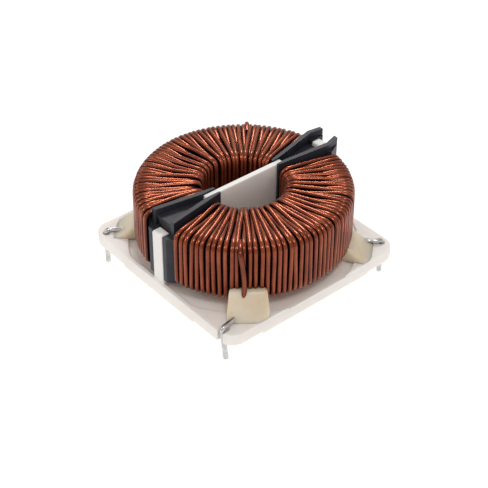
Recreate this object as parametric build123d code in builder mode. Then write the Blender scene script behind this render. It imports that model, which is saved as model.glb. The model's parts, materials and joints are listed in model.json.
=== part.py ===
# Toroidal common-mode choke on a square mounting base, in millimetres.
# X runs along the divider, Z is up, and z = 0 is the board that the base stands on.
import math
import os

from build123d import *

os.makedirs("parts", exist_ok=True)

# Windings: one wire on each half of a ferrite ring.
wound_radius = 20.4
wound_bore_radius = 7.4
wire_radius = 0.475
outer_wall = 2.4
bore_wall = 2.0
winding_wall = 1.45
turns = 52
winding_end_angle = 13.0
groove_depth = 0.42
bore_groove_depth = 0.3
bore_layer_step = 0.45
outer_bend = 1.6
inner_bend = 1.2

# The ring's height, with its coating.
core_height = 9.0

# Moulded base. Its sides lie a margin outside the wound ring, and so does its pocket's edge.
base_margin = 0.1
pocket_margin = 1.2
base_corner_radius = 3.2
plate_thickness = 2.3
rail_height = 0.48
rail_width = 1.6
side_rail_length = 20.4
front_rail_length = 25.6
pocket_depth = 0.5
pocket_rim = 0.9
divider_thickness = 1.1
divider_gap = 0.1
divider_rise = 0.35
post_width = 2.7
post_depth = 1.9
post_height = 10.7
far_post_height = 13.4
post_gap = 0.1
post_edge = 0.25

# Air under the wound ring, between its lowest turns and the plate.
ring_standoff = 1.35

# Pins: the tinned ends of the two wires, set in from the sides of the base.
pin_inset_x = 1.5
pin_inset_y = 2.8
pin_length = 4.0
pin_radius = 0.45
elbow_radius = 0.55
elbow_sides = 8
pin_hole_gap = 0.08
lead_lift = 0.05
lead_angle = 47.0
lead_reach = 2.6
lead_sink = 0.12

# Black barriers that keep the windings apart.
barrier_gap = 0.06
barrier_wall = 0.9
barrier_web = 0.7
barrier_bore_inset = 0.25
barrier_rise = 0.6
barrier_inner_radius = 6.3
barrier_inner_width = 2.1
barrier_outer_width = 6.2
barrier_end_reach = 0.45
barrier_drop_in_bore = 9.0
far_barrier_shift = 1.2
far_barrier_tilt = 0.8
panel_bottom = 3.8
panel_foot_width = 1.0
panel_slope_width = 1.5

# Adhesive beads at the corners.
bead_angle = 49.5
bead_half_angle = 11.0
bead_climb = 1.5
bead_lip = 0.6
bead_reach = 4.4
bead_inner_reach = 3.9
bead_edge_gap = 0.05

cut_overrun = 1.0

# Heights and radii that follow from the sizes above.
core_radius = wound_radius - outer_wall
core_bore_radius = wound_bore_radius + bore_wall
plate_top = rail_height + plate_thickness
pocket_floor = plate_top - pocket_depth
wound_bottom = plate_top + ring_standoff
core_bottom = wound_bottom + winding_wall
core_top = core_bottom + core_height
wound_top = core_top + winding_wall
half_side = wound_radius + base_margin
base_side = 2 * half_side
pocket_radius = wound_radius + pocket_margin
pin_x = half_side - pin_inset_x
pin_y = half_side - pin_inset_y
lead_height = plate_top + wire_radius + lead_lift
barrier_bore_end = core_bore_radius - barrier_bore_inset


def on_circle(radius, angle, height):
    """A point at a radius and an angle in degrees about the ring's axis."""
    turn = math.radians(angle)
    return (radius * math.cos(turn), radius * math.sin(turn), height)


# Ferrite ring.
with BuildPart() as core:
    with BuildSketch(Plane.XY.offset(core_bottom)):
        Circle(core_radius)
        Circle(core_bore_radius, mode=Mode.SUBTRACT)
    extrude(amount=core_height)
core.part.label = "core"
export_step(core.part, "parts/core.step")


# Windings. The turns of one wire are one solid: sections stand in planes through the ring's axis,
# four to a turn, so that each turn is a rounded ridge with a groove beside it.
# In the bore there is room for half the turns, so every second turn lies in an inner layer there.
turn_place_shares = (0.0, 0.22, 0.5, 0.78)
turn_crest_shares = (0.0, 0.75, 1.0, 0.75)
turn_angle = (180 - 2 * winding_end_angle) / turns
bend_out = wound_radius - outer_bend
bend_in = wound_bore_radius + bore_layer_step + inner_bend
bend_in_width = bend_in - wound_bore_radius


def turn_section(angle, crest_share, inner_layer):
    """The winding's outline round the ring at one angle.

    Each of its lines, carried on, meets the ring's axis at the same height in every section or runs
    along the axis, so that the strips between two sections are flat.
    """
    groove_share = 1 - crest_share
    outside = wound_radius - groove_share * groove_depth
    bore = wound_bore_radius + groove_share * bore_groove_depth
    if inner_layer:
        bore += crest_share * bore_layer_step
    sunk_out = groove_share * groove_depth * bend_out / wound_radius
    sunk_in = groove_share * groove_depth * bend_in / wound_radius
    outer_drop = (bend_out + sunk_out) * outside / bend_out - bend_out
    bore_drop = inner_bend * bend_in / bend_in_width
    bore_drop += (sunk_in - bore_drop) * bore / bend_in
    outline = [
        (bore, wound_bottom + bore_drop),
        (bend_in, wound_bottom + sunk_in),
        (bend_out, wound_bottom + sunk_out),
        (outside, wound_bottom + outer_drop),
        (outside, wound_top - outer_drop),
        (bend_out, wound_top - sunk_out),
        (bend_in, wound_top - sunk_in),
        (bore, wound_top - bore_drop),
    ]
    across = on_circle(1, angle, 0)
    half_plane = Plane((0, 0, 0), x_dir=across, z_dir=on_circle(1, angle - 90, 0))
    with BuildSketch(half_plane) as section:
        with BuildLine():
            Polyline(*outline, close=True)
        make_face()
    return section.sketch


# The crossing lead comes down over the outside of the turns, and the hidden lead leaves below them.
crossing_angle = 180 + lead_angle
hidden_angle = -lead_angle
crossing_radius = wound_radius + wire_radius - lead_sink
lead_mouth_radius = wound_radius + lead_reach
crossing_lead = [
    on_circle(wound_radius - wire_radius, crossing_angle, wound_top - wire_radius),
    on_circle(crossing_radius, crossing_angle, wound_top - outer_bend),
    on_circle(crossing_radius, crossing_angle, wound_bottom + outer_bend),
    on_circle(lead_mouth_radius, crossing_angle, lead_height),
    (-pin_x, -pin_y, lead_height),
]
hidden_lead = [
    on_circle(core_radius, hidden_angle, wound_bottom),
    on_circle(wound_radius, hidden_angle, wound_bottom),
    on_circle(lead_mouth_radius, hidden_angle, lead_height),
    (pin_x, -pin_y, lead_height),
]


def lead_solid(points):
    """A wire along straight runs, and its tinned end as a pin through the base.

    The elbow over the base's hole has flat sides, and below the plate it is a round pin.
    """
    pin_place = points[-1][:2]
    with BuildPart() as lead:
        with BuildLine() as route:
            Polyline(*points)
        with BuildSketch(Plane(route.line @ 0, z_dir=route.line % 0)):
            Circle(wire_radius)
        sweep(path=route.line, transition=Transition.RIGHT)
        with BuildSketch(Plane.XY.offset(rail_height)):
            with Locations(pin_place):
                RegularPolygon(elbow_radius, elbow_sides)
        extrude(amount=lead_height + elbow_radius - rail_height)
        with BuildSketch(Plane.XY.offset(rail_height)):
            with Locations(pin_place):
                Circle(pin_radius)
        extrude(amount=-rail_height - pin_length)
    return lead.part


leads = [lead_solid(crossing_lead), lead_solid(hidden_lead)]

sections = []
for turn in range(turns):
    for place_share, crest_share in zip(turn_place_shares, turn_crest_shares):
        angle = 180 + winding_end_angle + (turn + place_share) * turn_angle
        sections.append(turn_section(angle, crest_share, turn % 2 == 1))
sections.append(turn_section(360 - winding_end_angle, 0, False))

with BuildPart() as front_winding:
    loft(sections=sections, ruled=True)
    add(core.part, mode=Mode.SUBTRACT)
    for lead in leads:
        add(lead)
front_winding.part.label = "front_winding"
export_step(front_winding.part, "parts/front_winding.step")

with BuildPart() as back_winding:
    add(front_winding.part.rotate(Axis.Z, 180))
back_winding.part.label = "back_winding"
export_step(back_winding.part, "parts/back_winding.step")


# Base: plate with stand-off rails, a shallow round pocket, a divider through the bore
# and a post at each end of the divider.
divider_half_length = barrier_bore_end - divider_gap
post_inner = core_radius + post_gap


def post_solid(side, height):
    """A post at one end of the divider, with its top edges broken."""
    with BuildPart() as post:
        with BuildSketch(Plane.XY.offset(pocket_floor)):
            with Locations((side * (post_inner + post_depth / 2), 0)):
                Rectangle(post_depth, post_width)
        extrude(amount=plate_top + height - pocket_floor)
        chamfer(post.faces().sort_by(Axis.Z)[-1].edges(), post_edge)
    return post.part


with BuildPart() as base:
    with BuildSketch(Plane.XY.offset(rail_height)):
        RectangleRounded(base_side, base_side, base_corner_radius)
    extrude(amount=plate_thickness)
    rail_place = half_side - rail_width / 2
    with BuildSketch(Plane.XY):
        with Locations((rail_place, 0), (-rail_place, 0)):
            Rectangle(rail_width, side_rail_length)
        with Locations((0, rail_place), (0, -rail_place)):
            Rectangle(front_rail_length, rail_width)
    extrude(amount=rail_height)
    with BuildSketch(Plane.XY.offset(plate_top)):
        Circle(pocket_radius)
        Rectangle(base_side - 2 * pocket_rim, 2 * pocket_radius, mode=Mode.INTERSECT)
    extrude(amount=-pocket_depth, mode=Mode.SUBTRACT)
    with BuildSketch(Plane.XY.offset(pocket_floor)):
        Rectangle(2 * divider_half_length, divider_thickness)
    extrude(amount=wound_top + divider_rise - pocket_floor)
    add(post_solid(-1, post_height))
    add(post_solid(1, far_post_height))
    pin_hole_radius = elbow_radius + pin_hole_gap
    with BuildSketch(Plane.XY.offset(plate_top)):
        with Locations((pin_x, -pin_y), (-pin_x, pin_y), (pin_x, pin_y), (-pin_x, -pin_y)):
            Circle(pin_hole_radius)
        slot_length = half_side - pin_x + cut_overrun
        with Locations((pin_x + slot_length / 2, pin_y), (-pin_x - slot_length / 2, -pin_y)):
            Rectangle(slot_length, 2 * pin_hole_radius)
    extrude(amount=-plate_thickness, mode=Mode.SUBTRACT)
base.part.label = "base"
export_step(base.part, "parts/base.step")


# Barriers: a saddle over the ring between the windings. Two walls hold the divider's end in the
# bore and spread over the top, a web joins them, and two slanting panels run down beside the post.
# The barrier at the far end sits further out, and its walls rise to a horn on each side of the post.
def barrier_solid(own_post_height, shift, tilt):
    """A barrier on the +X side, shifted outwards, with its walls' tops rising outwards by the tilt."""
    inner_radius = barrier_inner_radius + shift
    inner_half = barrier_inner_width / 2
    outer_half = barrier_outer_width / 2
    web_end = core_radius + barrier_gap
    wall_end = web_end + barrier_end_reach
    wall_end_half = outer_half - barrier_wall
    spread = (outer_half - inner_half) / (wall_end - inner_radius)
    bore_half = inner_half + spread * (barrier_bore_end - inner_radius)
    slot_half = divider_thickness / 2 + barrier_gap
    wall_top = wound_top + barrier_rise
    web_half = outer_half - barrier_wall / 2
    web_bore_half = (slot_half + bore_half) / 2
    panel_near = post_width / 2 + post_gap
    panel_far = panel_near + panel_slope_width
    panel_foot = panel_near + panel_foot_width
    panel_out = post_inner + post_depth - post_gap + shift
    panel_in = math.sqrt(web_end**2 - panel_far**2)
    panel_top = plate_top + own_post_height
    wall_outline = [
        (inner_radius, slot_half),
        (barrier_bore_end, slot_half),
        (wall_end, wall_end_half),
    ]
    if shift:
        wall_outline += [(panel_out, panel_foot - barrier_wall), (panel_out, panel_foot)]
    wall_outline += [(wall_end, outer_half), (inner_radius, inner_half)]
    bore_outline = [
        (inner_radius, slot_half),
        (barrier_bore_end, slot_half),
        (barrier_bore_end, bore_half),
        (inner_radius, inner_half),
    ]
    panel_outline = [
        (panel_out, panel_near),
        (panel_out, panel_foot),
        (panel_in + barrier_wall / 2, panel_far + panel_foot_width),
        (panel_in, panel_far),
        (web_end, panel_near),
    ]
    link_outline = [
        (web_end, wall_end_half),
        (wall_end, wall_end_half),
        (wall_end, outer_half),
        (web_end, outer_half),
    ]
    extrusions = [
        (wall_outline, core_top, wall_top + 2 * tilt),
        (bore_outline, core_top - barrier_drop_in_bore, core_top),
        (panel_outline, panel_bottom, panel_top),
        (link_outline, panel_bottom, core_top),
    ]
    with BuildPart() as barrier:
        for side in (1, -1):
            for outline, low, high in extrusions:
                with BuildSketch(Plane.XY.offset(low)):
                    with BuildLine():
                        Polyline(*[(out, side * across) for out, across in outline], close=True)
                    make_face()
                extrude(amount=high - low)
        with BuildSketch(Plane.XY.offset(core_top)):
            with BuildLine():
                Polyline(
                    (barrier_bore_end, -web_bore_half),
                    (web_end, -web_half),
                    (web_end, web_half),
                    (barrier_bore_end, web_bore_half),
                    close=True,
                )
            make_face()
        extrude(amount=barrier_web)
        slope = Plane(
            (inner_radius, 0, wall_top),
            x_dir=(wall_end - inner_radius, 0, tilt),
            z_dir=(-tilt, 0, wall_end - inner_radius),
        )
        split(bisect_by=slope, keep=Keep.BOTTOM)
    return barrier.part


with BuildPart() as left_barrier:
    add(barrier_solid(post_height, 0, 0).rotate(Axis.Z, 180))
left_barrier.part.label = "left_barrier"
export_step(left_barrier.part, "parts/left_barrier.step")

with BuildPart() as right_barrier:
    add(barrier_solid(far_post_height, far_barrier_shift, far_barrier_tilt))
right_barrier.part.label = "right_barrier"
export_step(right_barrier.part, "parts/right_barrier.step")


# Adhesive: a bead at each corner fills the space under the turns and climbs their outside.
bead_corners = {
    "front_left_bead": 180 + bead_angle,
    "front_right_bead": -bead_angle,
    "back_right_bead": bead_angle,
    "back_left_bead": 180 - bead_angle,
}
bead_end = wound_radius + bead_reach
for bead_name, middle_angle in bead_corners.items():
    with BuildPart() as bead:
        profile_plane = Plane(
            (0, 0, 0),
            x_dir=on_circle(1, middle_angle - bead_half_angle, 0),
            z_dir=on_circle(1, middle_angle - bead_half_angle - 90, 0),
        )
        with BuildSketch(profile_plane):
            with BuildLine():
                Polyline(
                    (bend_out - bead_inner_reach, pocket_floor),
                    (bend_out - bead_inner_reach, wound_bottom),
                    (bend_out, wound_bottom),
                    (wound_radius, wound_bottom + outer_bend),
                    (wound_radius, wound_bottom + outer_bend + bead_climb),
                    (wound_radius + bead_lip, wound_bottom + outer_bend + bead_climb),
                    (bead_end, plate_top),
                    (pocket_radius, plate_top),
                    (pocket_radius, pocket_floor),
                    close=True,
                )
            make_face()
        revolve(axis=Axis.Z, revolution_arc=2 * bead_half_angle)
        with BuildSketch(Plane.XY):
            Rectangle(base_side - 2 * bead_edge_gap, base_side - 2 * bead_edge_gap)
        extrude(amount=wound_top, mode=Mode.INTERSECT)
        for lead in leads:
            add(lead, mode=Mode.SUBTRACT)
            add(lead.rotate(Axis.Z, 180), mode=Mode.SUBTRACT)
    bead.part.label = bead_name
    export_step(bead.part, f"parts/{bead_name}.step")
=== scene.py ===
# %% [markdown]
# A toroidal choke keeps electrical noise off a power line. Two copper windings share one ferrite
# ring. A white divider and two black barriers keep them apart, and the ring stands on a white
# moulded base with four solder pins.
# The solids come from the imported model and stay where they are. They could be shown bare, but real
# wire is round, moulded edges are soft and adhesive has run, so this lesson gives each solid its
# finish or puts a finer piece in its place.

# %% Load the solids
import json
import math
import random

import bmesh
import bpy
from mathutils import Matrix, Vector


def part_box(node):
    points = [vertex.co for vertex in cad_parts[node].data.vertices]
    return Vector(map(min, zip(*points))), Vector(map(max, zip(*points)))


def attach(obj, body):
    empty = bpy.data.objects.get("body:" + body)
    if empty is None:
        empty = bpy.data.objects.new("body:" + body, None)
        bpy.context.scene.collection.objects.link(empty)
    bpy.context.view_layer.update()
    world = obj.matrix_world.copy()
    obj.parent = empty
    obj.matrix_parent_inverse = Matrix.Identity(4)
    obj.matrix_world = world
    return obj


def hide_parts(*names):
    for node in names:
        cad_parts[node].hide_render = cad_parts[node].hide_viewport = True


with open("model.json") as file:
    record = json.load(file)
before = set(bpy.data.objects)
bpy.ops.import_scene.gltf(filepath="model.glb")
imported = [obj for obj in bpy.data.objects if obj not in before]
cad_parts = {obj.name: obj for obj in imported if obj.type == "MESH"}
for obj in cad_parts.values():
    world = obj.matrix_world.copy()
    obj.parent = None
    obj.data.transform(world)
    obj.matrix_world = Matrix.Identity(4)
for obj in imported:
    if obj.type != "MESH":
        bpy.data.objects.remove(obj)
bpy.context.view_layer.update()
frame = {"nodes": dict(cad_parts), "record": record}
MM = 0.001
print("solids:", sorted(frame["nodes"]))

# %% [markdown]
# The ring and its wire set most of what follows. Their sizes could all be typed in, but a size that
# is read from a solid can't disagree with it. So the ring's reach and height come from the boxes of
# the core and the front winding, and only the bore, the wire and the count of turns are given here.

# %% Sizes of the ring and the wire
core_low, core_high = (Vector(corner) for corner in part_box("core"))
winding_low, winding_high = (Vector(corner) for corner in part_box("front_winding"))
wound_radius = -winding_low.y
wound_top = winding_high.z
wound_bottom = core_low.z - (wound_top - core_high.z)
bore_radius = 7.4 * MM
wire_radius = 0.48 * MM
turns = 52
print(f"wound radius {wound_radius / MM:.2f} mm, from {wound_bottom / MM:.2f} to {wound_top / MM:.2f} mm")

# %% [markdown]
# A material is a small tree of nodes. A painted picture could give a surface its detail, but the
# piece would have to be unwrapped for it. Noise in the piece's own coordinates needs no unwrapping,
# so all the finishes here use it. Each helper below adds one part of such a tree. A value that is
# the same all over a piece is set on the shader itself, so that an export keeps it.


# %% A new material
def new_material(name):
    """A material with nodes, its tree and its shader."""
    material = bpy.data.materials.new(name)
    material.use_nodes = True
    tree = material.node_tree
    return material, tree, tree.nodes["Principled BSDF"]


# %% Noise on a piece
noise_roughness = 0.55


def object_noise(tree, scale, detail=4.0):
    """Noise in the piece's own coordinates, with a scale in waves per metre."""
    place = tree.nodes.new("ShaderNodeTexCoord")
    noise = tree.nodes.new("ShaderNodeTexNoise")
    noise.inputs["Scale"].default_value = scale
    noise.inputs["Detail"].default_value = detail
    noise.inputs["Roughness"].default_value = noise_roughness
    tree.links.new(place.outputs["Object"], noise.inputs["Vector"])
    return noise.outputs["Fac"]


# %% Colours along a value
def colour_ramp(tree, value, stops):
    """Colours along a value. Each stop is a place from 0 to 1 and a colour."""
    ramp = tree.nodes.new("ShaderNodeValToRGB")
    elements = ramp.color_ramp.elements
    first, *between, last = stops
    for element, (position, colour) in zip(elements, (first, last)):
        element.position = position
        element.color = (*colour, 1.0)
    for position, colour in between:
        elements.new(position).color = (*colour, 1.0)
    tree.links.new(value, ramp.inputs["Fac"])
    return ramp.outputs["Color"]


# %% Fine relief
def add_bump(tree, shader, height, strength, distance):
    """Relief from a height, on the shader's normal."""
    bump = tree.nodes.new("ShaderNodeBump")
    bump.inputs["Strength"].default_value = strength
    bump.inputs["Distance"].default_value = distance
    tree.links.new(height, bump.inputs["Height"])
    tree.links.new(bump.outputs["Normal"], shader.inputs["Normal"])


print("four helpers for materials, noise of roughness", noise_roughness)

# %% [markdown]
# The winding wire is copper under a thin coat of red-brown enamel. It could be one metal colour,
# but a close look at such a coil shows warm crowns and nearly black crevices between the turns.
# So a slow noise varies the enamel, and a second ramp paints shade over it: it darkens the enamel
# by a value that each point of the wire stores, how far it faces out of the ring, which a later
# step works out. The crevices get nearly black painted shade and the walls a little painted shade.
# A clear coat stands for the enamel's gloss.

# %% Enamelled copper
enamel_stops = [
    (0.30, (0.22, 0.044, 0.0145)),
    (0.55, (0.32, 0.070, 0.024)),
    (0.75, (0.40, 0.102, 0.037)),
]
# Painted shade: these stops darken the enamel in the crevices between turns and on the walls.
painted_shade_stops = [
    (0.15, (0.05, 0.025, 0.02)),
    (0.50, (0.32, 0.22, 0.18)),
    (0.84, (0.85, 0.80, 0.78)),
    (1.00, (1.0, 1.0, 1.0)),
]


def enamelled_copper():
    """Red-brown enamel over copper, with painted shade that is dark in the crevices and on the walls."""
    material, tree, shader = new_material("enamelled_copper")
    enamel = colour_ramp(tree, object_noise(tree, scale=260.0), enamel_stops)
    crown_painted_shade = tree.nodes.new("ShaderNodeAttribute")
    crown_painted_shade.attribute_name = "crown_painted_shade"
    # This ramp paints shade where the wire faces into a crevice or lies on a wall.
    painted_shade_colour = colour_ramp(tree, crown_painted_shade.outputs["Fac"], painted_shade_stops)
    enamel_with_painted_shade = tree.nodes.new("ShaderNodeMix")
    enamel_with_painted_shade.data_type = "RGBA"
    enamel_with_painted_shade.blend_type = "MULTIPLY"
    enamel_with_painted_shade.inputs["Factor"].default_value = 1.0
    tree.links.new(enamel, enamel_with_painted_shade.inputs["A"])
    tree.links.new(painted_shade_colour, enamel_with_painted_shade.inputs["B"])
    tree.links.new(enamel_with_painted_shade.outputs["Result"], shader.inputs["Base Color"])
    shader.inputs["Metallic"].default_value = 0.85
    shader.inputs["Roughness"].default_value = 0.25
    shader.inputs["Coat Weight"].default_value = 0.25
    shader.inputs["Coat Roughness"].default_value = 0.12
    scratches = object_noise(tree, scale=2400.0, detail=2.0)
    add_bump(tree, shader, scratches, strength=0.015, distance=0.04 * MM)
    return material


copper = enamelled_copper()
print(copper.name, "nodes:", len(copper.node_tree.nodes))

# %% [markdown]
# The ends of the wire are stripped and dipped in solder, which sets as a bright grey skin with slow
# ripples. A plain polished metal would look like a cut rod, so the same noise that varies the grey
# also lifts the surface a little.

# %% Tinned wire ends
tin_stops = [(0.3, (0.42, 0.41, 0.395)), (0.7, (0.66, 0.65, 0.635))]


def tinned_wire():
    """Dipped solder: bright grey, with slow ripples."""
    material, tree, shader = new_material("tinned_wire")
    ripples = object_noise(tree, scale=900.0)
    tree.links.new(colour_ramp(tree, ripples, tin_stops), shader.inputs["Base Color"])
    shader.inputs["Metallic"].default_value = 1.0
    shader.inputs["Roughness"].default_value = 0.24
    add_bump(tree, shader, ripples, strength=0.35, distance=0.08 * MM)
    return material


tin = tinned_wire()
print(tin.name, "nodes:", len(tin.node_tree.nodes))

# %% [markdown]
# The base is moulded in white nylon, which lets some light in and looks warm where it is thin or
# shaded. A white paint would look too hard. Subsurface light gives the soft look, and a fine grain
# breaks up the gloss as a mould's surface does.

# %% White nylon
nylon_stops = [(0.3, (0.79, 0.735, 0.69)), (0.7, (0.825, 0.78, 0.74))]


def white_nylon():
    """Moulded white nylon: satin, slightly see-through, with a fine grain."""
    material, tree, shader = new_material("white_nylon")
    clouds = object_noise(tree, scale=120.0)
    tree.links.new(colour_ramp(tree, clouds, nylon_stops), shader.inputs["Base Color"])
    shader.inputs["Roughness"].default_value = 0.42
    shader.inputs["Specular IOR Level"].default_value = 0.35
    shader.inputs["Subsurface Weight"].default_value = 0.5
    shader.inputs["Subsurface Radius"].default_value = (1.0, 0.8, 0.65)
    shader.inputs["Subsurface Scale"].default_value = 2.0 * MM
    grain = object_noise(tree, scale=1900.0, detail=3.0)
    add_bump(tree, shader, grain, strength=0.10, distance=0.06 * MM)
    return material


nylon = white_nylon()
print(nylon.name, "nodes:", len(nylon.node_tree.nodes))

# %% [markdown]
# The barriers are moulded in black plastic. Pure black would hide their shape, and real black
# plastic is a very dark blue-grey. A grain that is a little stronger than the nylon's spreads the
# light that grazes the flat panels.

# %% Black barrier plastic
black_stops = [(0.3, (0.014, 0.014, 0.020)), (0.7, (0.028, 0.028, 0.038))]


def black_plastic():
    """Moulded black plastic: a very dark blue-grey, with a fine grain."""
    material, tree, shader = new_material("black_plastic")
    clouds = object_noise(tree, scale=350.0)
    tree.links.new(colour_ramp(tree, clouds, black_stops), shader.inputs["Base Color"])
    shader.inputs["Roughness"].default_value = 0.46
    shader.inputs["Specular IOR Level"].default_value = 0.35
    grain = object_noise(tree, scale=2600.0, detail=3.0)
    add_bump(tree, shader, grain, strength=0.22, distance=0.06 * MM)
    return material


barrier_black = black_plastic()
print(barrier_black.name, "nodes:", len(barrier_black.node_tree.nodes))

# %% [markdown]
# The adhesive at the corners has set to a pale, warm, cloudy solid. Glass with a tint could make it,
# but it would be slow to render and hard to export. Strong subsurface light over a cream colour
# gives the same cloudy look, and a slow relief keeps its skin from being flat.

# %% Set adhesive
adhesive_stops = [(0.3, (0.61, 0.49, 0.34)), (0.7, (0.70, 0.60, 0.46))]


def set_adhesive():
    """Set adhesive: pale, warm and cloudy."""
    material, tree, shader = new_material("set_adhesive")
    clouds = object_noise(tree, scale=220.0)
    tree.links.new(colour_ramp(tree, clouds, adhesive_stops), shader.inputs["Base Color"])
    shader.inputs["Roughness"].default_value = 0.34
    shader.inputs["Subsurface Weight"].default_value = 0.7
    shader.inputs["Subsurface Radius"].default_value = (1.0, 0.8, 0.55)
    shader.inputs["Subsurface Scale"].default_value = 3.0 * MM
    add_bump(tree, shader, clouds, strength=0.3, distance=0.2 * MM)
    return material


adhesive = set_adhesive()
print(adhesive.name, "nodes:", len(adhesive.node_tree.nodes))

# %% [markdown]
# The ferrite ring hardly shows between the turns, but it does give the crevices their floor. It is
# a dull dark grey ceramic, so one noise for its colour and relief is enough.

# %% Ferrite
ferrite_stops = [(0.3, (0.012, 0.011, 0.011)), (0.7, (0.03, 0.026, 0.024))]


def ferrite():
    """Coated ferrite: dark grey and dull."""
    material, tree, shader = new_material("ferrite")
    grains = object_noise(tree, scale=700.0)
    tree.links.new(colour_ramp(tree, grains, ferrite_stops), shader.inputs["Base Color"])
    shader.inputs["Roughness"].default_value = 0.7
    add_bump(tree, shader, grains, strength=0.2, distance=0.1 * MM)
    return material


core_grey = ferrite()
print(core_grey.name, "nodes:", len(core_grey.node_tree.nodes))

# %% [markdown]
# A wire could be built ring by ring as a mesh tube, but a curve with a round bevel needs only the
# points that the wire follows. Its control points make a smooth spline, as a bent wire is smooth.
# Once the curve is right it becomes a mesh, so that the piece keeps no curve settings.


# %% A round wire along points
def wire_piece(name, points, radius, material, sides=3, steps=3):
    """A round wire along a smooth spline, as a mesh."""
    curve = bpy.data.curves.new(name, "CURVE")
    curve.dimensions = "3D"
    curve.bevel_depth = radius
    curve.bevel_resolution = sides
    curve.use_fill_caps = True
    spline = curve.splines.new("NURBS")
    spline.points.add(len(points) - 1)
    for control, point in zip(spline.points, points):
        control.co = (*point, 1.0)
    spline.order_u = 3
    spline.use_endpoint_u = True
    spline.resolution_u = steps
    guide = bpy.data.objects.new(name + "_guide", curve)
    bpy.context.scene.collection.objects.link(guide)
    bpy.context.view_layer.update()
    graph = bpy.context.evaluated_depsgraph_get()
    mesh = bpy.data.meshes.new_from_object(guide.evaluated_get(graph))
    bpy.data.objects.remove(guide)
    mesh.name = name
    mesh.materials.clear()
    mesh.materials.append(material)
    for polygon in mesh.polygons:
        polygon.use_smooth = True
    piece = bpy.data.objects.new(name, mesh)
    bpy.context.scene.collection.objects.link(piece)
    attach(piece, "root")
    return piece


# %% A point on the ring
def ring_point(radius, angle, height):
    """A point at a radius and an angle about the ring's axis."""
    return Vector((radius * math.cos(angle), radius * math.sin(angle), height))


print("a point on the wound wall:", [round(v / MM, 1) for v in ring_point(wound_radius, math.pi, wound_top)])

# %% [markdown]
# The crevices between turns look nearly black on a real coil, darker than light alone makes them in
# a render, so shade is painted into them. It could be painted by hand, but the shape already knows
# where the crevices are. The ring's section is a rectangle with round corners, and a point of the
# wire that faces straight out of it is on a crown and gets no painted shade. Each point stores that
# as a number from 0 to 1, and the walls get a little less, which paints some shade on them too.

# %% Painted shade in the crevices and on the walls
# The power for the section is odd, so that it keeps which side of the middle a point is on.
# How much painted shade darkens the walls of the ring.
painted_wall_shade = 0.15
section_squareness = 7
middle_radius = (wound_radius + bore_radius) / 2
middle_height = (wound_top + wound_bottom) / 2
half_width = (wound_radius - bore_radius) / 2
half_height = (wound_top - wound_bottom) / 2


def mark_painted_shade(piece):
    """Store painted shade for each point of a wire: how far it faces away from the ring, from 0 to 1."""
    crown_painted_shade = piece.data.attributes.new("crown_painted_shade", "FLOAT", "POINT")
    for vertex in piece.data.vertices:
        radial = Vector((vertex.co.x, vertex.co.y, 0))
        out = ((radial.length - middle_radius) / half_width) ** section_squareness
        rise = ((vertex.co.z - middle_height) / half_height) ** section_squareness
        away = (radial.normalized() * out + Vector((0, 0, rise))).normalized()
        # The walls get painted shade: their value is lowered a little.
        clear = 1 - painted_wall_shade * max(0.0, away.dot(radial.normalized())) ** 2
        crown_painted_shade.data[vertex.index].value = max(0.0, vertex.normal.dot(away)) * clear


print(f"ring section: {2 * half_width / MM:.2f} by {2 * half_height / MM:.2f} mm")

# %% [markdown]
# One turn of the winding runs up the outside of the ring, over the top to the bore, down the bore
# and back under the ring. On the outside the turns lie side by side, but the bore has room for less
# than half of them, so most turns lie in another layer than the turn before.
# One turn could be copied round the ring, but that looks machined. This wire was wound by hand, so
# a loop works out every turn and lets it stray a little, with a fixed seed.

# %% How the turns lie
# The last value is a power: the higher it is, the fewer turns at the end reach past the winding's span.
bend = 2.4 * MM
top_bend = 2.7 * MM
corner_ease = 0.1 * MM
layer_change_chance = 0.88
layer_sink = 0.55 * MM
layer_step = 0.85 * MM
half_way_sink_share = 0.75
end_crowding = 6
print(f"bends of {bend / MM:.1f} and {top_bend / MM:.1f} mm, layers {layer_step / MM:.2f} mm apart")

# %% How far the turns stray
# Heights and radii stray by millimetres, and angles by shares of the pitch.
sink_stray_mm = (-0.06, 0.10)
wall_stray_mm = (-0.06, 0.0)
bore_stray_mm = (0.0, 0.12)
wall_stray_share = 0.04
lean_stray_share = 0.10
bore_stray_share = 0.36
middle_stray_share = 0.14
print("standard stray in the bore, in pitches:", bore_stray_share)

# %% One turn
outside = wound_radius - wire_radius
bore = bore_radius + wire_radius
top = wound_top - wire_radius
bottom = wound_bottom + wire_radius
print(f"a turn's middle line: {(outside - bore) / MM:.2f} mm wide, {(top - bottom) / MM:.2f} mm high")


def turn_points(out, inner, wall, lean, inside, middle, sink):
    """Control points of one turn: up the outside, over the top, down the bore and under the ring."""
    rise = top - sink
    return [
        ring_point(out, wall, bottom + bend),
        ring_point(out, wall + lean, top - top_bend),
        ring_point(out - corner_ease, wall + lean, top - corner_ease),
        ring_point(out - top_bend, wall + lean, top),
        ring_point((out + inner) / 2, middle, top - sink * half_way_sink_share),
        ring_point(inner + bend, inside, rise),
        ring_point(inner, inside, rise),
        ring_point(inner, inside, rise - bend),
        ring_point(inner, inside, bottom + bend),
        ring_point(inner, inside, bottom),
        ring_point(inner + bend, inside, bottom),
    ]


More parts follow.
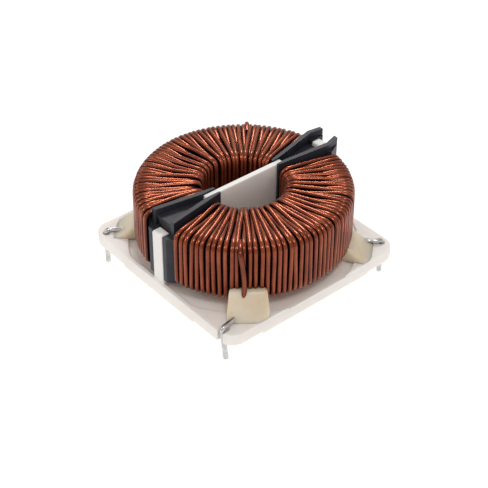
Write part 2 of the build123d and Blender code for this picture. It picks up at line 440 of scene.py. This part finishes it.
# %% The points of one winding
def winding_points(first_angle, last_angle, end_reach, seed):
    """Control points of all the turns between two angles."""
    chance = random.Random(seed)
    pitch = (last_angle - first_angle) / turns
    points = []
    lower = 0
    for turn in range(turns):
        even = first_angle + (turn + 0.5) * pitch
        if chance.random() < layer_change_chance:
            lower = 1 - lower
        sink = lower * layer_sink + chance.uniform(*sink_stray_mm) * MM
        wall = even + chance.gauss(0, wall_stray_share) * pitch
        wall += end_reach * (turn / (turns - 1)) ** end_crowding
        lean = chance.gauss(0, lean_stray_share) * pitch
        inside = even + chance.gauss(0, bore_stray_share) * pitch
        middle = (wall + lean + inside) / 2 + chance.gauss(0, middle_stray_share) * pitch
        after = wall + pitch
        out = outside + chance.uniform(*wall_stray_mm) * MM
        inner = bore + lower * layer_step + chance.uniform(*bore_stray_mm) * MM
        if turn == 0:
            points += [ring_point(out - bend, wall, bottom), ring_point(out, wall, bottom)]
        points += turn_points(out, inner, wall, lean, inside, middle, sink)
        if turn < turns - 1:
            points += [ring_point(out - bend, after, bottom), ring_point(out, after, bottom)]
    return points


# %% The two windings
# Each span: its first and last angle, how far the last turns reach past it, and its seed.
end_angle = math.radians(12.2)
winding_spans = {
    "front_winding": (math.pi + end_angle, 2 * math.pi - end_angle, 0.0, 7),
    "back_winding": (end_angle, math.pi - end_angle, math.radians(2.6), 19),
}
for node, span in winding_spans.items():
    wire = wire_piece(node + "_wire", winding_points(*span), wire_radius, copper)
    mark_painted_shade(wire)
    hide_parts(node)
    print(node, "faces:", len(wire.data.polygons))

# %% [markdown]
# The two ends of each wire leave the winding at the corners. One end crosses over the outside of the
# turns, and the other comes out from below them. Past the adhesive the enamel is stripped and the
# wire is tinned, and there it bends down through the base as a pin.
# The leads could be part of the winding's curve, but enamel and solder are two finishes, so each
# stretch is a wire of its own along a few listed points.

# %% Where the leads and pins go
# The pins' places come from the record. Heights are measured from the board that the base stands on.
# A lead comes out of its adhesive at the mouth.
pin_pattern = next(mount["dims"] for mount in frame["record"]["mounts"] if mount["name"] == "pcb_pins")
pin_x = pin_pattern["spacing_x_mm"] / 2 * MM
pin_y = pin_pattern["spacing_y_mm"] / 2 * MM
pin_foot = winding_low.z
foot_lift = 0.05 * MM
pin_end = pin_foot + foot_lift
plate_top = 2.78 * MM
lead_radius = 0.475 * MM
lead_lift = 0.05 * MM
lead_height = plate_top + lead_radius + lead_lift
lead_angle = math.radians(47.0)
mouth_radius = 23.0 * MM
print(f"pins at {pin_x / MM:.1f}, {pin_y / MM:.1f} mm, down to {pin_end / MM:.2f} mm")

# %% The lead that crosses the turns
# The swings are in radians, round the ring from the lead's corner, one for each point.
start_inset = 3.0 * MM
start_sink = 0.3 * MM
shoulder_inset = 1.2 * MM
upper_drop = 1.0 * MM
lower_drop = 3.0 * MM
tuck_rise = 1.6 * MM
tuck_height = wound_bottom + tuck_rise
crossing_swings = (0.010, 0.014, 0.018, 0.036, 0.066)
cross_angle = math.pi + lead_angle
cross_radius = wound_radius + lead_radius
mouth_cross = ring_point(mouth_radius, cross_angle, lead_height)
crossing_reach = [
    (wound_radius - start_inset, wound_top - lead_radius - start_sink),
    (wound_radius - shoulder_inset, wound_top - lead_radius),
    (cross_radius, wound_top - upper_drop),
    (cross_radius, wound_top - lower_drop),
    (cross_radius, tuck_height),
]
crossing_route = [
    ring_point(radius, cross_angle + swing, height)
    for (radius, height), swing in zip(crossing_reach, crossing_swings)
]
crossing_route.append(mouth_cross)
print("crossing lead points:", len(crossing_route))

# %% The pin in the base's slot
# The first point lies hidden in the adhesive, a share of the way back along the crossing lead.
hidden_share = 0.2
slot_approach_x = 0.6 * MM
slot_approach_y = 0.2 * MM
slot_lean = 0.85 * MM
slot_bend = 1.4 * MM
low_lean = 0.4 * MM
low_drop = 3.2 * MM
slot_route = [
    mouth_cross.lerp(ring_point(cross_radius, cross_angle, tuck_height), hidden_share),
    mouth_cross,
    Vector((-pin_x + slot_approach_x, -pin_y + slot_approach_y, lead_height)),
    Vector((-pin_x - slot_lean, -pin_y, lead_height)),
    Vector((-pin_x - slot_lean, -pin_y, lead_height - slot_bend)),
    Vector((-pin_x - low_lean, -pin_y, lead_height - low_drop)),
    Vector((-pin_x, -pin_y, pin_end)),
]
print("slot pin points:", len(slot_route))

# %% The pin in the base's hole
# The first point lies hidden in the adhesive, against the turns.
hidden_rise = 0.2 * MM
mouth_swing = math.radians(3.5)
hole_approach_x = 1.2 * MM
hole_approach_y = 0.3 * MM
hole_bend = 1.2 * MM
hole_route = [
    ring_point(wound_radius, -lead_angle, lead_height + hidden_rise),
    ring_point(mouth_radius, -lead_angle + mouth_swing, lead_height),
    Vector((pin_x - hole_approach_x, -pin_y + hole_approach_y, lead_height)),
    Vector((pin_x, -pin_y, lead_height)),
    Vector((pin_x, -pin_y, lead_height - hole_bend)),
    Vector((pin_x, -pin_y, pin_end)),
]
print("hole pin points:", len(hole_route))

# %% Leads and pins of both windings
lead_routes = {
    "crossing_lead": (crossing_route, copper),
    "slot_pin": (slot_route, tin),
    "hole_pin": (hole_route, tin),
}
side_turns = {"front": Matrix.Identity(4), "back": Matrix.Rotation(math.pi, 4, "Z")}
for name, (route, finish) in lead_routes.items():
    for side, side_turn in side_turns.items():
        turned_route = [side_turn @ point for point in route]
        lead = wire_piece(f"{side}_{name}", turned_route, lead_radius, finish, sides=4, steps=6)
        mark_painted_shade(lead)
        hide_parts(f"{side}_winding")
        print(lead.name, "faces:", len(lead.data.polygons))

# %% [markdown]
# The base and the barriers come out of moulds, so their shape is that of their solids with small
# rounded edges. They could be modelled again, but a copy of a solid fits without any measuring.
# A solid's mesh is loose triangles, so the copy is joined up and its flat faces are made whole
# before a bevel rounds the edges.

# %% A moulded piece
merge_distance = 0.002 * MM
flat_angle = math.radians(1.0)
edge_angle = math.radians(30)


def moulded_piece(node, edge, material):
    """A copy of a solid with rounded edges, in its own finish."""
    shape = bmesh.new()
    shape.from_mesh(frame["nodes"][node].data)
    bmesh.ops.remove_doubles(shape, verts=shape.verts, dist=merge_distance)
    bmesh.ops.dissolve_limit(
        shape,
        angle_limit=flat_angle,
        use_dissolve_boundaries=False,
        verts=shape.verts,
        edges=shape.edges,
    )
    bmesh.ops.recalc_face_normals(shape, faces=shape.faces)
    mesh = bpy.data.meshes.new(node + "_moulded")
    shape.to_mesh(mesh)
    shape.free()
    mesh.materials.append(material)
    piece = bpy.data.objects.new(node + "_moulded", mesh)
    bpy.context.scene.collection.objects.link(piece)
    rounding = piece.modifiers.new("edges", "BEVEL")
    rounding.width = edge
    rounding.segments = 2
    rounding.limit_method = "ANGLE"
    rounding.angle_limit = edge_angle
    rounding.harden_normals = True
    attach(piece, "root")
    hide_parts(node)
    print(node, "faces:", len(mesh.polygons))


# %% Base and barriers
base_edge = 0.16 * MM
barrier_edge = 0.12 * MM
moulded_piece("base", base_edge, nylon)
for barrier_node in ("left_barrier", "right_barrier"):
    moulded_piece(barrier_node, barrier_edge, barrier_black)

# %% [markdown]
# Adhesive has no mould: it is poured at a corner, runs down the turns and sets. A simulated liquid
# could make it, but a warped copy of its solid is quicker and stays in its place. The copy's hull
# closes the tunnel of the lead, the ends draw in, and three of the four beads sink lower, as where
# less was poured. Then small cells rebuild the skin, and smoothing takes away the hard edges.

# %% How the adhesive runs
bead_cuts = 5
bead_draw_in = 0.86
bead_bend = 1.6 * MM
bead_reach = 4.4 * MM
bead_cell = 0.28 * MM
bead_smoothing = 0.5
bead_passes = 22
base_low, base_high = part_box("base")
print(f"beads may reach from {base_low[1] / MM:.1f} to {base_high[1] / MM:.1f} mm")


# %% The hull of a bead
def bead_hull(node):
    """A fine mesh of the outer shape of a bead's solid, with no tunnel in it."""
    shape = bmesh.new()
    shape.from_mesh(frame["nodes"][node].data)
    bmesh.ops.remove_doubles(shape, verts=shape.verts, dist=merge_distance)
    hull = bmesh.ops.convex_hull(shape, input=shape.verts)
    hull_faces = set(hull["geom"])
    spare = hull["geom_interior"] + hull["geom_unused"]
    inner = [item for item in spare if isinstance(item, bmesh.types.BMVert)]
    bmesh.ops.delete(shape, geom=inner, context="VERTS")
    old_faces = [face for face in shape.faces if face not in hull_faces]
    bmesh.ops.delete(shape, geom=old_faces, context="FACES")
    bmesh.ops.subdivide_edges(shape, edges=shape.edges, cuts=bead_cuts, use_grid_fill=True)
    return shape


# %% How low a point of a bead runs
def run_height(radius, height, climb, sag):
    """The height of a bead's point once the adhesive has run."""
    if height <= plate_top:
        return height
    near = min(max((radius - wound_radius) / bead_bend + 1, 0.0), 1.0)
    run = min(max((radius - wound_radius) / bead_reach, 0.0), 1.0)
    return plate_top + (height - plate_top) * (1 - near * (1 - climb)) * (1 - run) ** sag


# %% A poured bead
def poured_bead(node, middle_angle, shift, climb, sag):
    """A copy of a bead's solid with the soft shape of something poured."""
    shape = bead_hull(node)
    for vertex in shape.verts:
        angle = math.atan2(vertex.co.y, vertex.co.x)
        off = math.remainder(angle - middle_angle, 2 * math.pi)
        radius = math.hypot(vertex.co.x, vertex.co.y)
        height = run_height(radius, vertex.co.z, climb, sag)
        vertex.co = ring_point(radius, middle_angle + shift + off * bead_draw_in, height)
        vertex.co.y = max(base_low[1], min(base_high[1], vertex.co.y))
    mesh = bpy.data.meshes.new(node + "_poured")
    shape.to_mesh(mesh)
    shape.free()
    mesh.materials.append(adhesive)
    piece = bpy.data.objects.new(node + "_poured", mesh)
    bpy.context.scene.collection.objects.link(piece)
    cells = piece.modifiers.new("cells", "REMESH")
    cells.mode = "VOXEL"
    cells.voxel_size = bead_cell
    cells.use_smooth_shade = True
    smooth = piece.modifiers.new("smooth", "SMOOTH")
    smooth.factor = bead_smoothing
    smooth.iterations = bead_passes
    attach(piece, "root")
    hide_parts(node)
    print(node, "points before the cells:", len(mesh.vertices))


# %% The four beads
# Each bead: its middle, how far round it slid, how much of its climb it keeps, and how it sags.
bead_angle = math.radians(49.5)
bead_pours = {
    "front_left_bead": (math.pi + bead_angle, math.radians(2.4), 1.0, 0.0),
    "front_right_bead": (-bead_angle, math.radians(-1.5), 0.60, 0.6),
    "back_right_bead": (bead_angle, math.radians(2.0), 0.85, 0.4),
    "back_left_bead": (math.pi - bead_angle, math.radians(1.6), 0.58, 0.6),
}
for bead_node, pour in bead_pours.items():
    poured_bead(bead_node, *pour)

# %% [markdown]
# The core keeps its solid, because only slivers of it show between the turns. It needs no finer
# shape, only its finish.

# %% Core
core_slots = frame["nodes"]["core"].material_slots
for core_slot in core_slots:
    core_slot.material = core_grey
print("core finishes:", [core_slot.material.name for core_slot in core_slots])

# %% [markdown]
# The part stands on its pins on a plain white floor that runs out of the picture. A floor that is
# only lit would turn grey away from the lamps, so it also glows a little, which lights the part
# softly from below as a bright studio table does.

# %% Floor
floor_half = 1.5
floor_shape = bmesh.new()
bmesh.ops.create_grid(floor_shape, x_segments=1, y_segments=1, size=floor_half)
floor_mesh = bpy.data.meshes.new("floor")
floor_shape.to_mesh(floor_mesh)
floor_shape.free()
floor_mesh.transform(Matrix.Translation((0, 0, pin_foot)))
floor = bpy.data.objects.new("floor", floor_mesh)
bpy.context.scene.collection.objects.link(floor)
floor_paint, _, floor_shader = new_material("white_floor")
floor_shader.inputs["Base Color"].default_value = (0.55, 0.55, 0.55, 1.0)
floor_shader.inputs["Roughness"].default_value = 0.9
floor_shader.inputs["Emission Color"].default_value = (1.0, 1.0, 1.0, 1.0)
floor_shader.inputs["Emission Strength"].default_value = 0.62
floor_mesh.materials.append(floor_paint)
print(f"floor at {pin_foot / MM:.1f} mm")

# %% [markdown]
# Most of the light comes evenly from a white sky and the floor, as in a light tent. Three square
# lamps add shape to it. The one behind the part stands near the place that the crowns of the wire
# mirror to the camera, and it draws the bright lines on them. The top lamp reaches into the bore,
# and the left lamp lifts the side of the ring. Bigger lamps would be softer, but would blur the lines.

# %% A square lamp
lamp_aim = Vector((0, 0, 8.0 * MM))


def soft_lamp(name, place, size, power):
    """A square lamp that looks at the middle of the part."""
    data = bpy.data.lights.new(name, "AREA")
    data.shape = "SQUARE"
    data.size = size
    data.energy = power
    lamp = bpy.data.objects.new(name, data)
    lamp.location = place
    lamp.rotation_euler = (lamp_aim - Vector(place)).to_track_quat("-Z", "Y").to_euler()
    bpy.context.scene.collection.objects.link(lamp)


# %% Lamps and sky
# Each lamp: its place and its side in metres, and its power in watts.
lamps = {
    "top_lamp": ((-0.07, -0.20, 0.40), 0.08, 0.42),
    "back_lamp": ((0.23, 0.27, 0.38), 0.10, 0.62),
    "left_lamp": ((-0.34, 0.14, 0.28), 0.10, 0.24),
}
for lamp_name, lamp_values in lamps.items():
    soft_lamp(lamp_name, *lamp_values)
world = bpy.data.worlds.new("studio")
world.use_nodes = True
sky = world.node_tree.nodes["Background"]
sky.inputs["Color"].default_value = (1.0, 1.0, 1.0, 1.0)
sky.inputs["Strength"].default_value = 0.62
bpy.context.scene.world = world
bpy.context.scene.view_settings.view_transform = "Standard"
print("lamps:", list(lamps))

# %% [markdown]
# The camera stands where the photograph was taken. It could be moved by eye until the outlines
# agree, but its place was solved from the corners of the base and the outline of the ring, so it is
# given as angles, a distance and a focal length in pixels. The square picture is 488 pixels wide.

# %% Where the camera stands
# The last two sizes slide the camera along its own right and up, to frame the part as in the photo.
photo_pixels = 488
focal_pixels = 1207.2
camera_azimuth = math.radians(-40.748)
camera_height_angle = math.radians(37.948)
camera_roll = math.radians(0.589)
camera_distance = 224.19 * MM
camera_aim = Vector((0, 0, 8.48 * MM))
aim_right = 0.077 * MM
aim_up = -5.772 * MM
backward = Vector((
    math.sin(camera_azimuth) * math.cos(camera_height_angle),
    -math.cos(camera_azimuth) * math.cos(camera_height_angle),
    math.sin(camera_height_angle),
))
level_right = Vector((0, 0, 1)).cross(backward).normalized()
level_up = backward.cross(level_right)
right = math.cos(camera_roll) * level_right + math.sin(camera_roll) * level_up
up = math.cos(camera_roll) * level_up - math.sin(camera_roll) * level_right
camera_place = camera_aim + backward * camera_distance + right * aim_right + up * aim_up
print("camera at", [round(v / MM, 1) for v in camera_place])

# %% Camera
camera_data = bpy.data.cameras.new("camera")
camera_data.sensor_width = 36.0
camera_data.lens = camera_data.sensor_width * focal_pixels / photo_pixels
camera_data.clip_start = 10.0 * MM
camera = bpy.data.objects.new("camera", camera_data)
camera_turn = Matrix((right, up, backward)).transposed().to_4x4()
camera.matrix_world = Matrix.Translation(camera_place) @ camera_turn
bpy.context.scene.collection.objects.link(camera)
bpy.context.scene.camera = camera
print(f"lens {camera_data.lens:.1f} mm")
